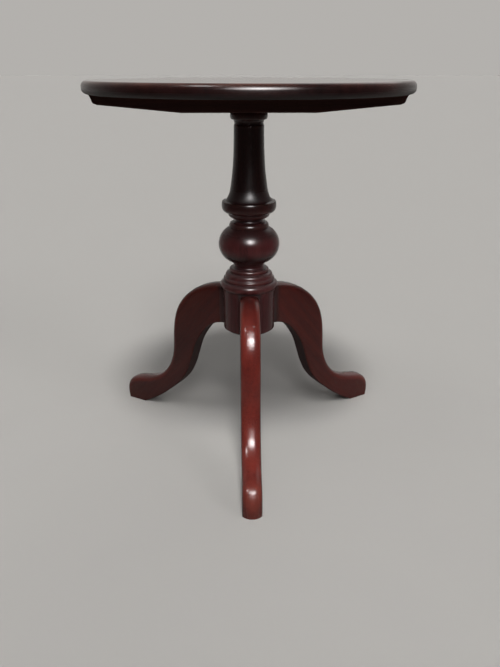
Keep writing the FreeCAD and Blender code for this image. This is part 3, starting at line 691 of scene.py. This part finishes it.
class Finish:
    """A procedural material, built up from one kind of call: a node's type, settings and sockets."""

    def __init__(self, name, owner=None):
        self.material = owner or bpy.data.materials.new(name)
        self.material.use_nodes = True
        self.tree = self.material.node_tree
        self.tree.nodes.clear()

    def node(self, kind, settings, sockets, output=0):
        """Add a node: set its settings, then give each socket, by name or place, a value or a link."""
        made = self.tree.nodes.new(f"ShaderNode{kind}")
        for setting, value in settings.items():
            setattr(made, setting, value)
        for key, value in sockets.items():
            target = self.pick(made.inputs, key)
            if isinstance(value, Socket):
                self.tree.links.new(value.output, target)
            else:
                target.default_value = value
        return Socket(self, self.pick(made.outputs, output)) if made.outputs else None

    @staticmethod
    def pick(sockets, key):
        """A socket by its place among those in use, or by its name."""
        usable = [socket for socket in sockets if socket.enabled]
        return usable[key] if isinstance(key, int) else next(s for s in usable if s.name == key)

    def maths(self, operation, *values):
        """One Math node on sockets or numbers."""
        return self.node("Math", {"operation": operation}, dict(enumerate(values)))

    def attribute(self, name, output):
        """A mark that is stored on the mesh, or 0 where it isn't."""
        return self.node("Attribute", {"attribute_name": name}, {}, output)

    def object_place(self):
        """The place in the piece's own frame."""
        return self.node("TexCoord", {}, {}, "Object")

    def stretched(self, vector, scales):
        """Each axis of a vector times its scale."""
        return self.node("VectorMath", {"operation": "MULTIPLY"}, {0: vector, 1: scales})

    def noise(self, vector, scales, detail=2.0, roughness=0.5):
        """Soft noise from 0 to 1, with as many waves to the metre along each axis as the scales say."""
        place = self.stretched(vector, scales)
        sockets = {"Vector": place, "Scale": 1.0, "Detail": detail, "Roughness": roughness}
        return self.node("TexNoise", {}, sockets)

    def ease(self, value, low, high):
        """0 below low, 1 above high, and a smooth step between."""
        sockets = {"Value": value, "From Min": low, "From Max": high}
        return self.node("MapRange", {"interpolation_type": "SMOOTHSTEP"}, sockets)

    def blend(self, factor, first, second):
        """From the first colour to the second."""
        return self.node("Mix", {"data_type": "RGBA"}, {"Factor": factor, "A": first, "B": second})

    def ray(self, kind):
        """1 for rays of one kind, 0 for the others."""
        return self.node("LightPath", {}, {}, f"Is {kind} Ray")

    def background(self, pale, dim, bounce):
        """Pale for the camera, dimmer in front for what polish or glass shows, plain for bounced light."""
        mirrored = self.maths("MAXIMUM", self.ray("Glossy"), self.ray("Transmission"))
        shown = self.blend(mirrored, bounce, self.blend(dim, shade(0, 0, 0), pale))
        return self.blend(self.ray("Camera"), shown, pale)

    def dim_in_front(self, place, distance):
        """From 1 down to the dim share, straight in front and far from the table."""
        heading = self.node("VectorMath", {"operation": "NORMALIZE"}, {0: place})
        back = self.ease(self.node("SeparateXYZ", {}, {0: heading}, "Y"), *DIM_HEADING)
        return 1 - (1 - back) * distance * (1 - DIM_SHARE)

    def bump(self, height, strength, distance):
        """The normal of a surface that is raised by a height."""
        return self.node("Bump", {}, {"Strength": strength, "Distance": distance, "Height": height})

    def surface(self, sockets):
        """Finish with a Principled surface and give back the material."""
        shader = self.node("BsdfPrincipled", {}, sockets)
        self.node("OutputMaterial", {}, {"Surface": shader})
        return self.material


def mahogany(name, shades, gloss, roughness=POLISH_ROUGHNESS, on_node=False):
    """Polished mahogany: ribbon stripes and growth lines along the grain, fine fibres, pores and patina.

    The grain runs along the first axis of the piece's own grain marks, or along X on a node of the part.
    The figure is a sum of noises that leads from the deep shade to the warm one. The light shade, the pores
    and the marks are blended over it in turn, and wax makes it brighter. The hollow and dark marks bring
    painted shade as well as grime, and the dust and sheen mark brings painted sheen as well as dust.
    """
    deep, warm, light = shades
    finish = Finish(name)
    grain = finish.object_place() if on_node else finish.attribute("grain", "Vector")
    hollow = finish.attribute("hollow", "Fac")
    # Painted shade; where it lies, the polish is also a little glossier
    dark = finish.attribute("dark", "Fac")
    worn = finish.attribute("worn", "Fac")
    dust_and_sheen = finish.attribute("dust_and_sheen", "Fac")
    waxed = finish.attribute("waxed", "Fac")

    drift = finish.noise(grain, DRIFT_WAVES, detail=2.0)
    ribbon = finish.noise(grain, RIBBON_WAVES, detail=3.0, roughness=0.55)
    wander = finish.noise(grain, WANDER_WAVES, detail=2.0)
    pith = finish.node("VectorMath", {"operation": "ADD"}, {0: grain, 1: PITH_OFFSET})
    flat = finish.stretched(pith, ACROSS_GRAIN)
    ring = finish.node("VectorMath", {"operation": "LENGTH"}, {0: flat}, "Value")
    growth = finish.maths("SINE", (ring + wander * RING_WANDER) * RING_PHASE) * 0.5 + 0.5
    fibre = finish.noise(grain, FIBRE_WAVES, detail=3.0, roughness=0.6)
    pores = finish.ease(finish.noise(grain, PORE_WAVES, detail=1.0), *PORE_RANGE)

    figure = ribbon * RIBBON_SHARE + growth * GROWTH_SHARE + drift * DRIFT_SHARE - FIGURE_SHIFT
    colour = finish.blend(finish.ease(figure, *FIGURE_RANGE), deep, warm)
    sheen = finish.ease(drift * SHEEN_DRIFT_SHARE + fibre * SHEEN_FIBRE_SHARE, *SHEEN_RANGE)
    colour = finish.blend(sheen * SHEEN_SHARE, colour, light)
    colour = finish.blend(pores * PORE_SHARE, colour, PORE_SHADE)
    # Painted shade and grime in hollows and seams, towards near-black
    shadowed = finish.ease(finish.maths("MAXIMUM", hollow, dark), low=0.0, high=1.0)
    colour = finish.blend(shadowed * PAINTED_SHADE_AND_GRIME_SHARE, colour, PAINTED_SHADE_AND_GRIME)
    colour = finish.blend(worn * finish.ease(drift, *WORN_RANGE) * WORN_SHARE, colour, WORN_SHADE)
    colour = finish.blend(dust_and_sheen, colour, DUST_AND_SHEEN_SHADE)
    colour = finish.node("VectorMath", {"operation": "SCALE"}, {0: colour, "Scale": 1 + waxed * WAX_DEPTH})

    cloud = finish.noise(grain, CLOUD_WAVES, detail=4.0, roughness=0.6)
    dull = roughness + cloud * CLOUD_DULLNESS - CLOUD_DULLNESS / 2 + hollow * HOLLOW_DULLNESS
    dull = dull + pores * PORE_DULLNESS + worn ** 2 * WORN_DULLNESS - dark * DARK_GLOSS
    height = fibre * FIBRE_HEIGHT - pores
    return finish.surface({
        "Base Color": colour,
        "Roughness": dull,
        "Specular IOR Level": gloss,
        "Coat Weight": waxed * WAX_COAT,
        "Coat Roughness": 0.07,
        "Coat IOR": 1.3,
        "Normal": finish.bump(height, strength=0.08, distance=0.15 * MM),
    })


def wedge_beech():
    """Plain wood, streaked from brown to pale along Z, with short dark flecks."""
    brown, pale, dark = shade(0.36, 0.20, 0.10), shade(0.52, 0.33, 0.19), shade(0.20, 0.09, 0.04)
    finish = Finish("beech_wedge")
    place = finish.object_place()
    streak = finish.noise(place, scales=(900.0, 900.0, 30.0), detail=3.0)
    fleck = finish.noise(place, scales=(1400.0, 1400.0, 260.0), detail=1.0)
    fleck = finish.ease(fleck, low=0.6, high=0.68)
    colour = finish.blend(streak, brown, pale)
    colour = finish.blend(fleck * 0.6, colour, dark)
    return finish.surface({"Base Color": colour, "Roughness": 0.55 + streak * 0.2})


def plate_iron():
    """Black iron: a scaly skin from black to grey, with patches of brown rust that are rougher and duller."""
    black, grey, brown = shade(0.020, 0.019, 0.018), shade(0.085, 0.08, 0.075), shade(0.12, 0.045, 0.02)
    finish = Finish("plate_iron")
    place = finish.object_place()
    scale = finish.noise(place, scales=(220.0, 220.0, 220.0), detail=5.0, roughness=0.65)
    rust = finish.noise(place, scales=(75.0, 75.0, 75.0), detail=4.0, roughness=0.6)
    rust = finish.ease(rust, low=0.55, high=0.75)
    colour = finish.blend(scale, black, grey)
    colour = finish.blend(rust * 0.8, colour, brown)
    return finish.surface({
        "Base Color": colour,
        "Metallic": 0.85 - rust * 0.75,
        "Roughness": 0.42 + scale * 0.25 + rust * 0.2,
        "Normal": finish.bump(scale, strength=0.3, distance=0.2 * MM),
    })


def screw_steel():
    """Dull steel: bright to tarnished in patches, with turning marks round the shank."""
    bright, tarnished = shade(0.36, 0.34, 0.31), shade(0.10, 0.075, 0.055)
    finish = Finish("screw_steel")
    place = finish.object_place()
    marks = finish.noise(place, scales=(500.0, 500.0, 4000.0), detail=2.0)
    tarnish = finish.noise(place, scales=(420.0, 420.0, 420.0), detail=4.0, roughness=0.6)
    tarnish = finish.ease(tarnish, low=0.42, high=0.7)
    return finish.surface({
        "Base Color": finish.blend(tarnish, bright, tarnished),
        "Metallic": 1.0 - tarnish * 0.35,
        "Roughness": 0.34 + marks * 0.15 + tarnish * 0.25,
        "Normal": finish.bump(marks, strength=0.2, distance=0.05 * MM),
    })


def refinish(node, material):
    """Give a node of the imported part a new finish."""
    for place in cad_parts[node].material_slots:
        place.material = material


def add_floor():
    """A plain pale floor: a flat disc of rings about the origin, with its faces up."""
    reach = np.geomspace(FLOOR_HUB, FLOOR_RADIUS, FLOOR_RINGS)
    grid = revolve(np.column_stack([reach, np.zeros(FLOOR_RINGS)]), FLOOR_SEGMENTS)
    index, quads = grid_quads(*grid.shape[:2])
    faces = quads[:, ::-1].tolist() + [index[0].tolist()]
    mesh = bpy.data.meshes.new("floor")
    mesh.from_pydata(grid.reshape(-1, 3).tolist(), [], faces)
    finish = Finish("pale_floor")
    place = finish.object_place()
    distance = finish.node("VectorMath", {"operation": "LENGTH"}, {0: place}, "Value")
    dim = finish.dim_in_front(place, finish.ease(distance, *DIM_DISTANCE))
    pale = finish.background(FLOOR_SHADE, dim, FLOOR_BOUNCE)
    mesh.materials.append(finish.surface({"Base Color": pale, "Roughness": 0.8, "Specular IOR Level": 0.0}))
    floor = bpy.data.objects.new("floor", mesh)
    bpy.context.scene.collection.objects.link(floor)


def add_light():
    """An even pale room, a few broad suns and a lamp near the front.

    Each sun is two lamps, one for the plain light and one for the gleam in the polish.
    """
    world = bpy.data.worlds.new("studio")
    room = Finish("room", world)
    dim = room.dim_in_front(room.node("TexCoord", {}, {}, "Generated"), 1.0)
    pale = room.background(ROOM_SHADE, dim, ROOM_LIGHT)
    glow = room.node("Background", {}, {"Color": pale, "Strength": 1.0})
    room.node("OutputWorld", {}, {"Surface": glow})
    bpy.context.scene.world = world
    for name, azimuth, elevation, strength, gleam, width in SUNS:
        for use, energy in (("light", strength), ("gleam", gleam)):
            lamp = bpy.data.lights.new(f"{name}_{use}", "SUN")
            lamp.energy = energy
            lamp.angle = math.radians(width)
            sun = bpy.data.objects.new(lamp.name, lamp)
            sun.rotation_euler = (math.radians(90 - elevation), 0, math.radians(azimuth))
            sun.visible_diffuse = use == "light"
            sun.visible_glossy = use == "gleam"
            bpy.context.scene.collection.objects.link(sun)
    for width, power in GLEAM_DISCS:
        lamp = bpy.data.lights.new("gleam", "AREA")
        lamp.shape = "DISK"
        lamp.size = width
        lamp.energy = power
        gleam = bpy.data.objects.new("gleam", lamp)
        gleam.location = GLEAM_PLACE
        gleam.rotation_euler = (Vector(GLEAM_TARGET) - gleam.location).to_track_quat("-Z", "Y").to_euler()
        gleam.visible_camera = False
        gleam.visible_diffuse = False
        bpy.context.scene.collection.objects.link(gleam)


def add_camera():
    """The camera at the photograph's place: in front, a little above the top, pitched down."""
    lens = bpy.data.cameras.new("camera")
    lens.lens = CAMERA_LENS
    lens.sensor_width = SENSOR_WIDTH
    camera = bpy.data.objects.new("camera", lens)
    camera.location = CAMERA_PLACE
    camera.rotation_euler = (math.pi / 2 - CAMERA_PITCH, 0, CAMERA_TURN)
    bpy.context.scene.collection.objects.link(camera)
    bpy.context.scene.camera = camera


bpy.context.scene.view_settings.view_transform = "Standard"
add_floor()
add_light()
add_camera()

top_board(mahogany("mahogany_top", TOP_SHADES, gloss=0.15))
turned_column(mahogany("mahogany_turned", TURNED_SHADES, gloss=0.2))
leg_finish = mahogany("mahogany_leg", LEG_SHADES, gloss=0.22)
plain_leg, leg_painted_shade = leg_surface()
# Painted shade on each leg's crest and sides by its own shares; dust and painted sheen only where little is
# shaded
for node, (turn, crest, side_share, foot_dust_and_sheen) in LEGS.items():
    painted_shade = np.maximum(leg_painted_shade * side_share, crest)
    leg(node, turn, plain_leg, painted_shade, foot_dust_and_sheen * (1 - leg_painted_shade) ** 2, leg_finish)

refinish("bearer", mahogany("mahogany_bearer", BEARER_SHADES, gloss=0.08, roughness=0.4, on_node=True))
refinish("tenon_wedge", wedge_beech())
refinish("base_plate", plate_iron())
steel = screw_steel()
for node in ("bearer_centre_screws", "bearer_end_screws", "base_plate_screws"):
    refinish(node, steel)
